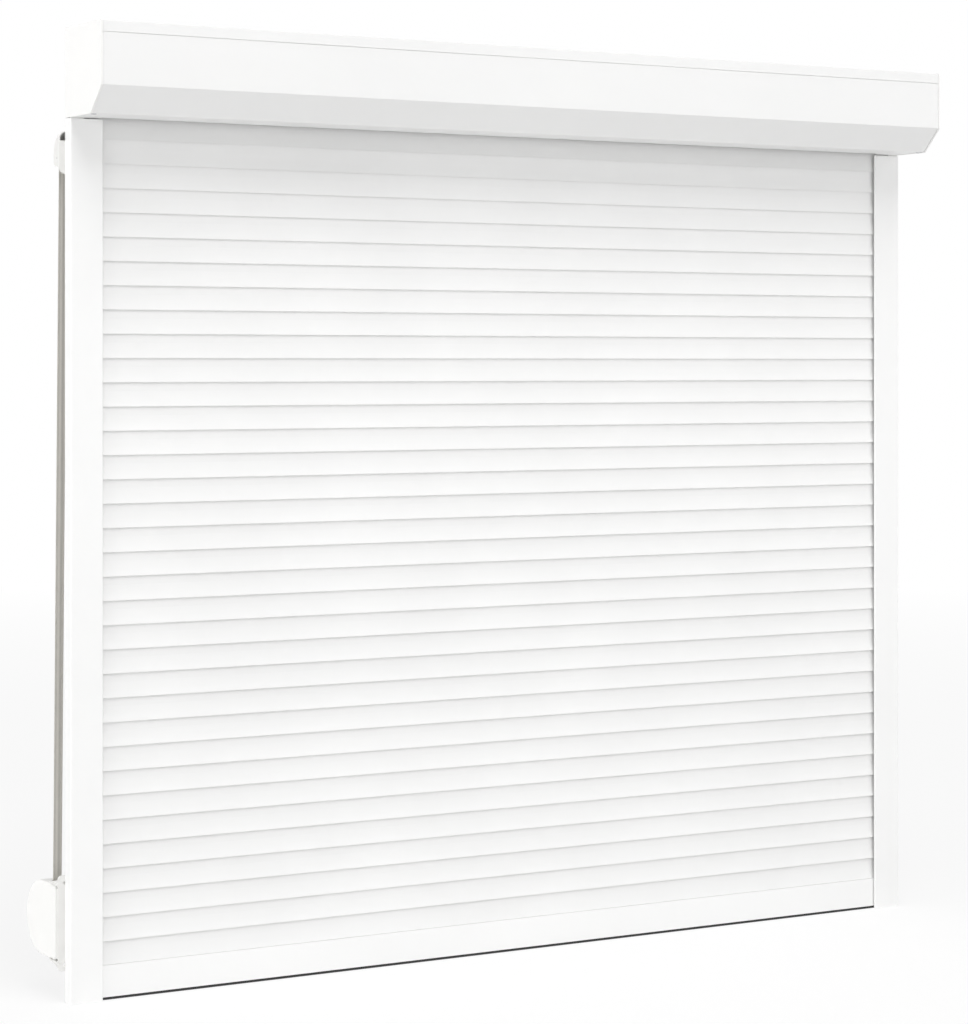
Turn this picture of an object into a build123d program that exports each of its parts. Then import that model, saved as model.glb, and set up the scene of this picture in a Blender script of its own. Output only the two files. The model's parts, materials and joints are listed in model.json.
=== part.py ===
from build123d import *
import math
import os

# Roller shutter with a box above, two guide rails and a strap drive, in millimetres.
# X runs along the box, Y into the wall and Z up. The origin is the centre of the back
# face of the box, in the plane of the wall. Heights named for the curtain and the strap
# winder are above the foot of the rails.

# Box
overall_width = 1590.0
box_size = 137.0
box_chamfer = 40.0
sheet = 1.2
bend_radius = 1.5
lip_height = 17.0
seam_gap = 1.0
tongue_height = 6.0
hem_height = 3.0
cover_edge_step = 2.5

# Guide rails
rail_width = 53.0
rail_depth = 22.0
rail_wall = 1.5
rail_chamber = 20.5
rail_edge_radius = 1.5
rail_box_gap = 2.0
groove_rib = 1.2
groove_rib_height = 1.6
brush_channel = 4.8
brush_backing = 1.2
brush_pile = 2.4
brush_end_gap = 2.0

# Curtain of slats
slat_count = 35
slat_pitch = 37.0
slat_thickness = 8.5
slat_setback = 5.5
slat_recess = 2.6
slat_flat_height = 14.0
slat_drip_edge = 0.8
slat_sheet = 0.9
slat_end_clearance = 9.5
first_lip_height = 53.9
top_slat_rise = 8.9
slot_play = 1.0
hook_neck = 1.1
hook_reach = 3.0
hook_side_gap = 0.6

# End slat and its seal
end_slat_thickness = 10.0
end_slat_wall = 1.4
seal_ground_gap = 0.5
seal_height = 4.5
seal_width = 8.0
seal_edge_radius = 1.5
seal_neck = 3.0
seal_head = 5.0
seal_head_height = 1.6

# End caps
cap_plate = 3.0
cap_proud = 0.8
cap_joint_gap = 0.6
cap_corner_radius = 2.0
cap_rim_wall = 2.0
cap_rim_depth = 9.0
cap_cup_wall = 3.0
cap_tongue_depth = 3.8
cap_tongue_length = 30.0
shelf_thickness = 2.8
funnel_height = 16.0
funnel_flare = 3.0
funnel_wall = 2.0
funnel_mouth_step = 3.0
boss_size = 12.0
boss_height = 8.0
boss_slope_gap = 9.0

# Shaft and what turns with it
shaft_sides = 8
shaft_flats = 60.0
shaft_wall = 1.0
bearing_radius = 17.5
bearing_bore = 6.0
bearing_width = 9.0
bearing_seal_depth = 0.5
bearing_race = 3.0
pin_end_gap = 0.8
disc_radius = 58.0
disc_flange = 1.5
disc_hub_radius = 30.0
disc_hub_wall = 3.0
disc_web = 3.5
plug_length = 38.0
end_plug_flange_radius = 36.0
end_plug_flange = 3.0
shaft_end_gap = 16.0
strap_roll_radius = 41.0
strip_count = 3
strip_spacing = 480.0
strip_width = 22.0
strip_thickness = 0.8
strip_height = 44.0

# Strap, its guide and its roller
strap_width = 14.0
strap_thickness = 1.2
strap_disc_inset = 14.0
strap_shelf_inset = 13.8
strap_guide_inset = 4.6
strap_tuck = 2.0
strap_arc_steps = 4
strap_slot_height = 18.0
guide_width = 29.4
guide_height = 66.5
guide_depth = 22.5
guide_drop = 18.7
guide_corner_radius = 12.0
guide_plate = 1.8
guide_plate_edge = 1.0
guide_rim = 1.8
guide_sill = 51.0
guide_side_step = 1.2
guide_crown = 36.0
guide_heel_radius = 9.0
guide_wall = 1.8
guide_mouth_height = 12.0
guide_mouth_side_gap = 1.2
roller_radius = 6.0
roller_length = 18.0
roller_axle_radius = 1.5
roller_setback = 11.0
roller_drop = 42.0

# Strap winder
winder_outset = 0.5
winder_pivot_setback = 29.0
winder_width = 24.0
winder_radius = 57.0
winder_centre_setback = 67.0
winder_centre_height = 120.5
winder_flat_setback = 9.0
winder_corner_radius = 6.0
winder_wall = 1.8
winder_edge_radius = 4.0
winder_post_radius = 5.0
winder_neck_radius = 10.0
winder_neck_bore = 8.3
winder_pin_radius = 3.0
winder_screw_radius = 1.5
winder_screw_head_radius = 2.6
winder_screw_head = 1.2
winder_screw_inset = 7.0
winder_screw_boss = 3.0
bracket_plate = 3.0
bracket_block = 5.0
bracket_block_inset = 4.0
bracket_ear_width = 21.0
bracket_ear_height = 15.5
bracket_ear_radius = 6.0
bracket_arm = 3.0
bracket_arm_margin = 2.0
bracket_rib = 2.0
bracket_hole_margin = 10.5
bracket_hole_radius = 2.75
reel_side_gap = 1.0
reel_rim_gap = 2.2
reel_hub_wall = 1.5
reel_flange = 1.2
spring_sheet = 0.6
spring_pitch = 2.8
spring_turns = 10
spring_width = 14.0

# Fixings
cover_screw_radius = 2.0
cover_screw_head_radius = 4.0
cover_screw_head = 1.6
cover_screw_slot = 1.0
cover_screw_length = 8.0
wall_hole_radius = 3.0
wall_hole_count = 4
wall_hole_margin = 105.0
wall_hole_drop = 28.5
rail_hole_radius = 2.1
rail_hole_count = 4
rail_hole_foot_margin = 100.0
rail_hole_top_margin = 160.0

# Fits
press_gap = 0.1
body_gap = 0.3
running_gap = 0.05

# Places worked out from the sizes above
half_width = overall_width / 2
box_half = box_size / 2
shaft_y = -box_half
rail_top = -box_half - rail_box_gap
rail_height = first_lip_height + slat_count * slat_pitch - top_slat_rise
foot = rail_top - rail_height
inner_face = half_width - cap_plate
skin_end = inner_face - cap_joint_gap
rail_inner = half_width - rail_width
chamber_inner = half_width - rail_wall - rail_chamber
groove_base = chamber_inner - rail_wall
slat_half_length = groove_base - slat_end_clearance
slat_front = slat_setback - rail_depth
slat_back = slat_front + slat_thickness
curtain_middle = (slat_front + slat_back) / 2
curtain_front_limit = curtain_middle - end_slat_thickness / 2 - body_gap
curtain_back_limit = curtain_middle + end_slat_thickness / 2 + body_gap
cover_edge = -rail_depth - cover_edge_step
cover_bottom = cap_proud - box_half
seam = box_half - cap_proud - lip_height
rim_inset = cap_proud + sheet + press_gap
boss_middle = box_chamfer - box_size + boss_slope_gap
shelf_front = cover_edge + press_gap
shelf_radius = shelf_thickness / 2
guide_x = -half_width + strap_guide_inset
guide_top = -box_half - guide_drop
guide_bottom = guide_top - guide_height
roller_z = guide_top - roller_drop
winder_x = -half_width - winder_outset
winder_centre = (winder_centre_setback, foot + winder_centre_height)
winder_top = winder_centre[1] + winder_radius
winder_bottom = winder_centre[1] - winder_radius
upper_arm = winder_top + body_gap
lower_arm = winder_bottom - body_gap - bracket_arm

os.makedirs("parts", exist_ok=True)


def save(part, label):
    """Names a finished piece and writes it to its own file."""
    part.label = label
    export_step(part, f"parts/{label}.step")


def slab(x_range, y_range, z_range, mode=Mode.ADD):
    """Adds or cuts a block between two planes each way."""
    ranges = (x_range, y_range, z_range)
    with Locations(tuple(sum(limits) / 2 for limits in ranges)):
        Box(*(abs(limits[1] - limits[0]) for limits in ranges), mode=mode)


def ring(centre, x_range, outer, inner=0.0, mode=Mode.ADD):
    """Adds or cuts a disc or a ring whose axis runs along the box."""
    length = abs(x_range[1] - x_range[0])
    shape = Cylinder(outer, length, mode=Mode.PRIVATE)
    if inner:
        shape -= Cylinder(inner, length, mode=Mode.PRIVATE)
    with Locations(Location((sum(x_range) / 2, *centre), (0, 90, 0))):
        add(shape, mode=mode)


def post(centre, z_range, radius, mode=Mode.ADD):
    """Adds or cuts an upright cylinder."""
    with Locations((*centre, sum(z_range) / 2)):
        Cylinder(radius, abs(z_range[1] - z_range[0]), mode=mode)


def fill(*points, mode=Mode.ADD):
    """Fills or cuts a straight-sided outline in the current sketch."""
    Polygon(*points, align=None, mode=mode)


def block(y_range, z_range, mode=Mode.ADD):
    """Fills or cuts a rectangle in the current section across the box."""
    with Locations((sum(y_range) / 2, sum(z_range) / 2)):
        Rectangle(abs(y_range[1] - y_range[0]), abs(z_range[1] - z_range[0]), mode=mode)


def box_section(inset, back_inset, mode=Mode.ADD):
    """Fills the section of the box, a square with its lower front corner cut off."""
    top = box_half - inset
    front = inset - box_size
    slope_sum = box_chamfer - box_size - box_half + inset * math.sqrt(2)
    fill(
        (-back_inset, -top),
        (-back_inset, top),
        (front, top),
        (front, slope_sum - front),
        (slope_sum + top, -top),
        mode=mode,
    )


def box_skin():
    """Fills the thickness of the sheet all round the section of the box."""
    box_section(cap_proud, 0.0)
    box_section(cap_proud + sheet, sheet, mode=Mode.SUBTRACT)


def front_corners(sketch):
    """The corners of a section of the box that aren't at its back."""
    return sketch.vertices().filter_by(lambda corner: corner.X < cover_edge)


# Box shell: back wall, top and a short lip in front
wall_hole_spacing = (overall_width - 2 * wall_hole_margin) / (wall_hole_count - 1)
with BuildPart() as box_shell:
    with BuildSketch(Plane.YZ.offset(-skin_end)) as section:
        box_skin()
        fillet(front_corners(section), bend_radius)
        block((-box_size, -sheet), (-box_size, seam), mode=Mode.SUBTRACT)
    extrude(amount=2 * skin_end)
    with BuildSketch(Plane.XZ):
        with Locations((0, box_half - wall_hole_drop)):
            with GridLocations(wall_hole_spacing, 1, wall_hole_count, 1):
                Circle(wall_hole_radius)
    extrude(amount=sheet, mode=Mode.SUBTRACT)
save(box_shell.part, "box_shell")

# Inspection cover: front, slope and underside, with a tongue behind the shell's lip
cover_top = seam - seam_gap
tongue_front = cap_proud - box_size + sheet
tongue_half_length = inner_face - cap_rim_depth - press_gap
screw_places = {
    side: (side * (inner_face - press_gap - boss_size / 2), boss_middle) for side in (-1, 1)
}

with BuildPart() as inspection_cover:
    with BuildSketch(Plane.YZ.offset(-skin_end)) as section:
        box_skin()
        fillet(front_corners(section), bend_radius)
        block((cover_edge, box_size), (-box_size, box_size), mode=Mode.SUBTRACT)
        block((-box_size, box_size), (cover_top, box_size), mode=Mode.SUBTRACT)
        block((cover_edge - sheet, cover_edge), (cover_bottom, cover_bottom + hem_height))
    extrude(amount=2 * skin_end)
    with BuildSketch(Plane.YZ.offset(-tongue_half_length)):
        block((tongue_front, tongue_front + sheet + press_gap), (cover_top - tongue_height, cover_top))
        block(
            (tongue_front + press_gap, tongue_front + press_gap + sheet),
            (cover_top, seam + tongue_height),
        )
    extrude(amount=2 * tongue_half_length)
    for place in screw_places.values():
        post(
            place,
            (cover_bottom, cover_bottom + sheet),
            cover_screw_radius + press_gap,
            mode=Mode.SUBTRACT,
        )
save(inspection_cover.part, "inspection_cover")

# Screws that hold the cover to the end caps
with BuildPart() as cover_screws:
    for place in screw_places.values():
        post(place, (cover_bottom - cover_screw_head, cover_bottom), cover_screw_head_radius)
        post(place, (cover_bottom, cover_bottom + cover_screw_length), cover_screw_radius)
        with BuildSketch(Plane.XY.offset(cover_bottom - cover_screw_head)):
            with Locations(place):
                Rectangle(2 * cover_screw_radius, cover_screw_slot)
                Rectangle(cover_screw_slot, 2 * cover_screw_radius)
        extrude(amount=cover_screw_head / 2, mode=Mode.SUBTRACT)
save(cover_screws.part, "cover_screws")


def end_cap(side):
    """One end cap; side is -1 for the left end and 1 for the right."""
    inner = side * inner_face
    funnel = (side * chamber_inner, side * (rail_inner + funnel_mouth_step))
    shelf_top = shelf_thickness - box_half
    with BuildPart() as cap:
        with BuildSketch(Plane.YZ.offset(side * half_width)) as outline:
            box_section(0.0, 0.0)
            fillet(front_corners(outline), cap_corner_radius)
        extrude(amount=-side * cap_plate)
        # Rim that fits inside the shell and the cover, open where the curtain passes
        with BuildSketch(Plane.YZ.offset(inner)) as rim:
            box_section(rim_inset, sheet + press_gap)
            box_section(rim_inset + cap_rim_wall, sheet + press_gap + cap_rim_wall, mode=Mode.SUBTRACT)
            fillet(front_corners(rim), bend_radius)
            block((cover_edge - 2 * sheet, 0), (-box_size, 0), mode=Mode.SUBTRACT)
        extrude(amount=-side * cap_rim_depth)
        # Cup for the bearing
        ring(
            (shaft_y, 0),
            (inner, inner - side * bearing_width),
            bearing_radius + cap_cup_wall,
            bearing_radius + press_gap,
        )
        # Tongue that fits inside the outer chamber of the rail
        slab(
            (side * (half_width - rail_wall - press_gap), side * (chamber_inner + press_gap)),
            (rail_wall - rail_depth + press_gap, rail_wall - rail_depth + cap_tongue_depth),
            (-box_half - cap_tongue_length, -box_half),
        )
        # Shelf over the rail, with the rounded edge that the strap or the curtain slides on
        slab(
            (inner, funnel[1]),
            (shelf_front, curtain_front_limit - shelf_radius),
            (-box_half, shelf_top),
        )
        ring(
            (curtain_front_limit - shelf_radius, -box_half + shelf_radius),
            (inner, funnel[1]),
            shelf_radius,
        )
        # Flared lips that lead the curtain into the groove
        with BuildSketch(Plane.YZ.offset(min(funnel))):
            fill(
                (curtain_front_limit, -box_half + shelf_radius),
                (curtain_front_limit - funnel_flare, shelf_top + funnel_height),
                (curtain_front_limit - funnel_flare - funnel_wall, shelf_top + funnel_height),
                (curtain_front_limit - funnel_wall, -box_half + shelf_radius),
            )
        extrude(amount=abs(funnel[1] - funnel[0]))
        with BuildSketch(Plane.YZ.offset(min(inner, funnel[1]))):
            fill(
                (-sheet - press_gap, -box_half),
                (-sheet - press_gap, shelf_top + funnel_height),
                (curtain_back_limit + funnel_flare, shelf_top + funnel_height),
                (curtain_back_limit, shelf_top),
                (curtain_back_limit, -box_half),
            )
        extrude(amount=abs(funnel[1] - inner))
        # Boss for the cover's screw
        boss_floor = cover_bottom + sheet + press_gap
        slab(
            (inner, inner - side * boss_size),
            (boss_middle - boss_size / 2, boss_middle + boss_size / 2),
            (boss_floor, boss_floor + boss_height),
        )
        post(
            screw_places[side],
            (boss_floor, boss_floor + boss_height),
            cover_screw_radius + running_gap,
            mode=Mode.SUBTRACT,
        )
    return cap.part


save(end_cap(-1), "left_end_cap")
save(end_cap(1), "right_end_cap")


# Guide rails: a closed outer chamber and a groove open towards the curtain
groove_front = rail_wall - rail_depth
groove_back = -rail_wall
rail_holes = (foot + rail_hole_foot_margin, rail_top - rail_hole_top_margin)
rail_hole_spacing = (rail_holes[1] - rail_holes[0]) / (rail_hole_count - 1)


def rail(side):
    """One guide rail; side is -1 for the left and 1 for the right."""
    with BuildPart() as profile:
        with BuildSketch(Plane.XY.offset(foot)) as section:
            with Locations((side * (half_width - rail_width / 2), -rail_depth / 2)):
                Rectangle(rail_width, rail_depth)
            fillet(section.vertices().group_by(Axis.Y)[0], rail_edge_radius)
            with Locations((side * (chamber_inner + rail_chamber / 2), -rail_depth / 2)):
                Rectangle(rail_chamber, rail_depth - 2 * rail_wall, mode=Mode.SUBTRACT)
            with Locations((side * (groove_base + rail_inner) / 2, -rail_depth / 2)):
                Rectangle(groove_base - rail_inner, rail_depth - 2 * rail_wall, mode=Mode.SUBTRACT)
            for rib_edge in (rail_inner, rail_inner + groove_rib + brush_channel):
                rib_x = side * (rib_edge + groove_rib / 2)
                with Locations(
                    (rib_x, groove_front + groove_rib_height / 2),
                    (rib_x, groove_back - groove_rib_height / 2),
                ):
                    Rectangle(groove_rib, groove_rib_height)
        extrude(amount=rail_height)
        with BuildSketch(Plane.XZ):
            with Locations((side * (chamber_inner + rail_chamber / 2), sum(rail_holes) / 2)):
                with GridLocations(1, rail_hole_spacing, 1, rail_hole_count):
                    Circle(rail_hole_radius)
        extrude(amount=rail_wall, mode=Mode.SUBTRACT)
        if side < 0:
            slab(
                (rail_wall - half_width, guide_x + guide_width / 2 - guide_wall),
                (-rail_wall, 0),
                (slot_z - strap_slot_height / 2, slot_z + strap_slot_height / 2),
                mode=Mode.SUBTRACT,
            )
    return profile.part


# Route of the strap, seen from the end of the box: round the roll on the disc, over the
# shelf of the end cap, through the rail's back wall, over the roller and down
strap_gap = body_gap + strap_thickness / 2
bends = [
    ((shaft_y, 0.0), strap_roll_radius + strap_gap, 1),
    ((curtain_front_limit - shelf_radius, -box_half + shelf_radius), shelf_radius + strap_gap, -1),
    ((roller_setback, roller_z), roller_radius + strap_gap, -1),
    ((winder_pivot_setback, winder_top - strap_tuck), 0.0, 0),
]
strap_places = [
    strap_disc_inset - half_width,
    strap_shelf_inset - half_width,
    guide_x,
    winder_x,
]


def bend_heading(first, second):
    """Direction, in radians, of the straight run from one bend to the next."""
    (y1, z1), radius1, turn1 = first
    (y2, z2), radius2, turn2 = second
    distance = math.hypot(y2 - y1, z2 - z1)
    return math.atan2(z2 - z1, y2 - y1) - math.asin((turn2 * radius2 - turn1 * radius1) / distance)


def bend_point(bend, heading):
    """Point where a run with this heading touches the bend."""
    (y, z), radius, turn = bend
    return (y + turn * radius * math.sin(heading), z - turn * radius * math.cos(heading))


headings = [bend_heading(first, second) for first, second in zip(bends, bends[1:])]
strap_stations = [(strap_places[0], bend_point(bends[0], headings[0]), headings[0])]
for place, bend, before, after in zip(strap_places[1:], bends[1:], headings, headings[1:]):
    for step in range(strap_arc_steps + 1):
        heading = before + (after - before) * step / strap_arc_steps
        strap_stations.append((place, bend_point(bend, heading), heading))
strap_stations.append((strap_places[-1], bends[-1][0], headings[-1]))

with BuildPart() as strap:
    for place, (y, z), heading in strap_stations:
        across = Plane(
            origin=(place, y, z),
            x_dir=(1, 0, 0),
            z_dir=(0, math.cos(heading), math.sin(heading)),
        )
        with BuildSketch(across):
            Rectangle(strap_width, strap_thickness)
    loft(ruled=True)
save(strap.part, "strap")

# The slot in the left rail lies where the strap crosses the back wall
shelf_point = bend_point(bends[1], headings[1])
slot_z = shelf_point[1] - (shelf_point[0] + rail_wall / 2) * math.tan(headings[1])
save(rail(-1), "left_rail")
save(rail(1), "right_rail")

# Brushes in both lips of each groove
with BuildPart() as rail_brushes:
    for side in (-1, 1):
        backing_x = side * (rail_inner + groove_rib + brush_channel / 2)
        for wall, tip in ((groove_front, curtain_front_limit), (groove_back, curtain_back_limit)):
            inward = math.copysign(1, tip - wall)
            base = wall + inward * press_gap
            with BuildSketch(Plane.XY.offset(foot + brush_end_gap)):
                with Locations((backing_x, base + inward * brush_backing / 2)):
                    Rectangle(brush_channel - 2 * press_gap, brush_backing)
                with Locations((backing_x, (base + tip) / 2)):
                    Rectangle(brush_pile, abs(tip - base))
            extrude(amount=rail_height - 2 * brush_end_gap)
save(rail_brushes.part, "rail_brushes")

# Curtain: each slat hangs from the hook of the slat below it in a pocket behind its lip, and
# the drip edge of the lip hides the gap between the two
shoulder = slat_pitch - body_gap
neck_back = slat_back - slat_sheet - hook_side_gap
neck_front = neck_back - hook_neck
hook_bottom = slat_pitch + slat_sheet + body_gap + slot_play
hook_top = hook_bottom + slat_sheet
pocket_height = hook_top + body_gap - slat_pitch
recess_face = slat_front + slat_recess
flat_bottom = shoulder - slat_flat_height
flare_height = flat_bottom + slat_drip_edge
flare_radius = (flare_height**2 + slat_recess**2) / (2 * slat_recess)
chamber_floor = pocket_height + slat_sheet


def flare_inside(height):
    """Where the inner face of the flare is at this height above the lip."""
    drop = flat_bottom - height
    return recess_face - flare_radius + math.sqrt((flare_radius + slat_sheet) ** 2 - drop**2)


def hook(shoulder_z):
    """Fills the hook that stands on a slat's shoulder and holds the slat above."""
    rise = shoulder_z - shoulder
    fill(
        (neck_back, shoulder_z - slat_sheet),
        (neck_back, rise + hook_top),
        (neck_front - hook_reach, rise + hook_top),
        (neck_front - hook_reach, rise + hook_bottom),
        (neck_front, rise + hook_bottom),
        (neck_front, shoulder_z - slat_sheet),
    )


def slat(lip, lowest):
    """One hollow slat whose lower lip is at this height; the lowest has no drip edge."""
    pocket_front = flare_inside(pocket_height)
    with BuildPart() as piece:
        with BuildSketch(Plane.YZ.offset(-slat_half_length)):
            with BuildLine():
                front = Polyline(
                    (slat_back, lip),
                    (slat_back, lip + shoulder),
                    (recess_face, lip + shoulder),
                    (recess_face, lip + flat_bottom),
                )
                flare = TangentArc(
                    front @ 1, (slat_front, lip - slat_drip_edge), tangent=(0, -1)
                )
                Polyline(
                    flare @ 1,
                    (slat_front + slat_sheet, lip - slat_drip_edge),
                    (slat_front + slat_sheet, lip),
                    (neck_front - hook_side_gap, lip),
                    (neck_front - hook_side_gap, lip + slat_sheet),
                    (pocket_front, lip + slat_sheet),
                    (pocket_front, lip + pocket_height),
                    (slat_back - slat_sheet, lip + pocket_height),
                    (slat_back - slat_sheet, lip),
                    (slat_back, lip),
                )
            make_face()
            with BuildLine():
                inside = Polyline(
                    (flare_inside(chamber_floor), lip + chamber_floor),
                    (slat_back - slat_sheet, lip + chamber_floor),
                    (slat_back - slat_sheet, lip + shoulder - slat_sheet),
                    (recess_face + slat_sheet, lip + shoulder - slat_sheet),
                    (recess_face + slat_sheet, lip + flat_bottom),
                )
                TangentArc(inside @ 1, inside @ 0, tangent=(0, -1))
            make_face(mode=Mode.SUBTRACT)
            hook(lip + shoulder)
            if lowest:
                block((slat_front, slat_back), (lip - slat_drip_edge, lip), mode=Mode.SUBTRACT)
        extrude(amount=2 * slat_half_length)
    return piece.part


for index in range(slat_count):
    lip_height = foot + first_lip_height + index * slat_pitch
    save(slat(lip_height, index == 0), f"slat_{index + 1:02d}")

# End slat: a hollow bar with a slot for the seal below and the same hook above
end_slat_bottom = foot + seal_ground_gap + seal_height
end_slat_top = foot + first_lip_height - body_gap
end_slat_front = curtain_middle - end_slat_thickness / 2
end_slat_back = curtain_middle + end_slat_thickness / 2
seal_slot_top = end_slat_bottom + end_slat_wall + seal_head_height + press_gap


def seal_root(gap, mode=Mode.ADD):
    """Fills or cuts the T-shaped root of the seal, made wider by a gap."""
    neck = seal_neck / 2 + gap
    head = seal_head / 2 + gap
    head_top = seal_slot_top - press_gap
    block((curtain_middle - neck, curtain_middle + neck), (end_slat_bottom, head_top), mode)
    block(
        (curtain_middle - head, curtain_middle + head),
        (end_slat_bottom + end_slat_wall - gap, head_top + gap),
        mode,
    )


with BuildPart() as end_slat:
    with BuildSketch(Plane.YZ.offset(-slat_half_length)):
        block((end_slat_front, end_slat_back), (end_slat_bottom, end_slat_top))
        block(
            (end_slat_front + end_slat_wall, end_slat_back - end_slat_wall),
            (seal_slot_top + end_slat_wall, end_slat_top - end_slat_wall),
            mode=Mode.SUBTRACT,
        )
        seal_root(press_gap, mode=Mode.SUBTRACT)
        hook(end_slat_top)
    extrude(amount=2 * slat_half_length)
save(end_slat.part, "end_slat")

with BuildPart() as end_slat_seal:
    with BuildSketch(Plane.YZ.offset(-slat_half_length)) as seal_section:
        block(
            (curtain_middle - seal_width / 2, curtain_middle + seal_width / 2),
            (foot + seal_ground_gap, end_slat_bottom),
        )
        fillet(seal_section.vertices().group_by(Axis.Y)[0], seal_edge_radius)
        seal_root(0.0)
    extrude(amount=2 * slat_half_length)
save(end_slat_seal.part, "end_slat_seal")

# Shaft: an octagonal tube between the strap disc and the end plug
strap_space = strap_width / 2 + body_gap
disc_x = strap_disc_inset - half_width
tube_left = disc_x + strap_space + disc_flange
tube_right = inner_face - shaft_end_gap
pin_reach = inner_face - pin_end_gap
pin_radius = bearing_bore - running_gap
plug_flats = shaft_flats - 2 * shaft_wall - 2 * press_gap


half_side_angle = 180 / shaft_sides


def octagon(flats, mode=Mode.ADD):
    """Fills an octagon on the axis of the shaft with two of its flats upright."""
    with Locations((shaft_y, 0)):
        RegularPolygon(flats / 2, shaft_sides, major_radius=False, rotation=half_side_angle, mode=mode)


with BuildPart() as shaft_tube:
    with BuildSketch(Plane.YZ.offset(tube_left)):
        octagon(shaft_flats)
        octagon(shaft_flats - 2 * shaft_wall, mode=Mode.SUBTRACT)
    extrude(amount=tube_right - tube_left)
save(shaft_tube.part, "shaft_tube")

with BuildPart() as strap_disc:
    space_left = disc_x - strap_space
    axis_point = (shaft_y, 0)
    hub_inner = disc_hub_radius - disc_hub_wall
    ring(axis_point, (space_left - disc_flange, space_left), disc_radius, hub_inner)
    ring(axis_point, (space_left, tube_left - disc_flange), disc_hub_radius, hub_inner)
    ring(axis_point, (tube_left - disc_flange, tube_left), disc_radius)
    ring(axis_point, (tube_left - disc_web, tube_left), hub_inner + press_gap)
    ring(axis_point, (-pin_reach, tube_left - disc_web), pin_radius)
    with BuildSketch(Plane.YZ.offset(tube_left)):
        octagon(plug_flats)
    extrude(amount=plug_length)
save(strap_disc.part, "strap_disc")

with BuildPart() as strap_roll:
    roll_sides = (disc_x - strap_width / 2, disc_x + strap_width / 2)
    ring(axis_point, roll_sides, strap_roll_radius, disc_hub_radius)
save(strap_roll.part, "strap_roll")

with BuildPart() as shaft_end_plug:
    with BuildSketch(Plane.YZ.offset(tube_right - plug_length)):
        octagon(plug_flats)
    extrude(amount=plug_length)
    ring(axis_point, (tube_right, tube_right + end_plug_flange), end_plug_flange_radius)
    ring(axis_point, (tube_right + end_plug_flange, pin_reach), pin_radius)
save(shaft_end_plug.part, "shaft_end_plug")

with BuildPart() as shaft_bearings:
    for side in (-1, 1):
        outer_face = side * (inner_face - press_gap)
        inner_side = side * (inner_face - bearing_width)
        ring(axis_point, (outer_face, inner_side), bearing_radius, bearing_bore)
        ring(
            axis_point,
            (inner_side, inner_side + side * bearing_seal_depth),
            bearing_radius - bearing_race,
            bearing_bore + bearing_race,
            mode=Mode.SUBTRACT,
        )
save(shaft_bearings.part, "shaft_bearings")

# Steel strips that tie the top slat to the shaft. They end below the middle of the shaft, so
# that they stay inside the box when the curtain rises, and clear the shaft's corners
strip_inside = shaft_y + shaft_flats / 2 / math.cos(math.radians(half_side_angle)) + body_gap
curtain_top = foot + first_lip_height + (slat_count - 1) * slat_pitch + hook_top
with BuildPart() as suspension_strips:
    for index in range(strip_count):
        middle = (index - (strip_count - 1) / 2) * strip_spacing
        with BuildSketch(Plane.YZ.offset(middle - strip_width / 2)):
            fill(
                (strip_inside, curtain_top + strip_height),
                (neck_front - strip_thickness, curtain_top),
                (neck_back, curtain_top),
                (strip_inside + strip_thickness, curtain_top + strip_height),
            )
        extrude(amount=strip_width)
save(suspension_strips.part, "suspension_strips")


# Strap guide: a plate with round corners on the back of the left rail, with a mouth for the
# strap, and behind it a housing for the roller that curves in to the plate at its top
housing_half = guide_width / 2 - guide_side_step
housing_bottom = guide_bottom + guide_corner_radius


def guide_front(inset):
    """Fills the front view of the guide, drawn in by the inset."""
    with Locations((guide_x, (guide_top + guide_bottom) / 2)):
        RectangleRounded(
            guide_width - 2 * inset,
            guide_height - 2 * inset,
            guide_corner_radius - inset,
        )


def guide_housing(inset):
    """The housing with the shape of both its views, drawn in by the inset."""
    depth = guide_depth - inset
    floor = housing_bottom + inset
    with BuildPart() as housing:
        with BuildSketch(Plane.YZ.offset(guide_x - housing_half + inset)) as outline:
            with BuildLine():
                crown = TangentArc(
                    (depth, guide_top - guide_crown), (inset, guide_top - inset), tangent=(0, 1)
                )
                Polyline(crown @ 1, (inset, floor), (depth, floor), crown @ 0)
            make_face()
            heel = outline.vertices().sort_by(Axis.X)[-2:].sort_by(Axis.Y)[0]
            fillet(heel, guide_heel_radius - inset)
        extrude(amount=2 * (housing_half - inset))
        with BuildSketch(Plane.XZ):
            guide_front(guide_side_step + inset)
        extrude(amount=-guide_depth, mode=Mode.INTERSECT)
    return housing.part


with BuildPart() as strap_guide:
    with BuildSketch(Plane.XZ):
        guide_front(0.0)
    extrude(amount=-guide_plate)
    fillet(strap_guide.faces().sort_by(Axis.Y)[0].edges(), guide_plate_edge)
    add(guide_housing(0.0))
    add(guide_housing(guide_wall), mode=Mode.SUBTRACT)
    with BuildSketch(Plane.XZ):
        guide_front(guide_rim)
        block(
            (guide_x - guide_width, guide_x + guide_width),
            (guide_bottom, guide_bottom + guide_sill),
            mode=Mode.SUBTRACT,
        )
    extrude(amount=-guide_plate, mode=Mode.SUBTRACT)
    mouth_half = strap_width / 2 + guide_mouth_side_gap
    slab(
        (guide_x - mouth_half, guide_x + mouth_half),
        (roller_setback + roller_radius - guide_wall, guide_depth + guide_wall),
        (housing_bottom, housing_bottom + guide_mouth_height),
        mode=Mode.SUBTRACT,
    )
    ring(
        (roller_setback, roller_z),
        (guide_x - housing_half, guide_x + housing_half),
        roller_axle_radius + running_gap,
        mode=Mode.SUBTRACT,
    )
save(strap_guide.part, "strap_guide")

with BuildPart() as guide_roller:
    roller_centre = (roller_setback, roller_z)
    roller_half = roller_length / 2
    axle_half = housing_half - body_gap
    ring(roller_centre, (guide_x - roller_half, guide_x + roller_half), roller_radius)
    ring(roller_centre, (guide_x - axle_half, guide_x + axle_half), roller_axle_radius)
save(guide_roller.part, "guide_roller")

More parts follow.
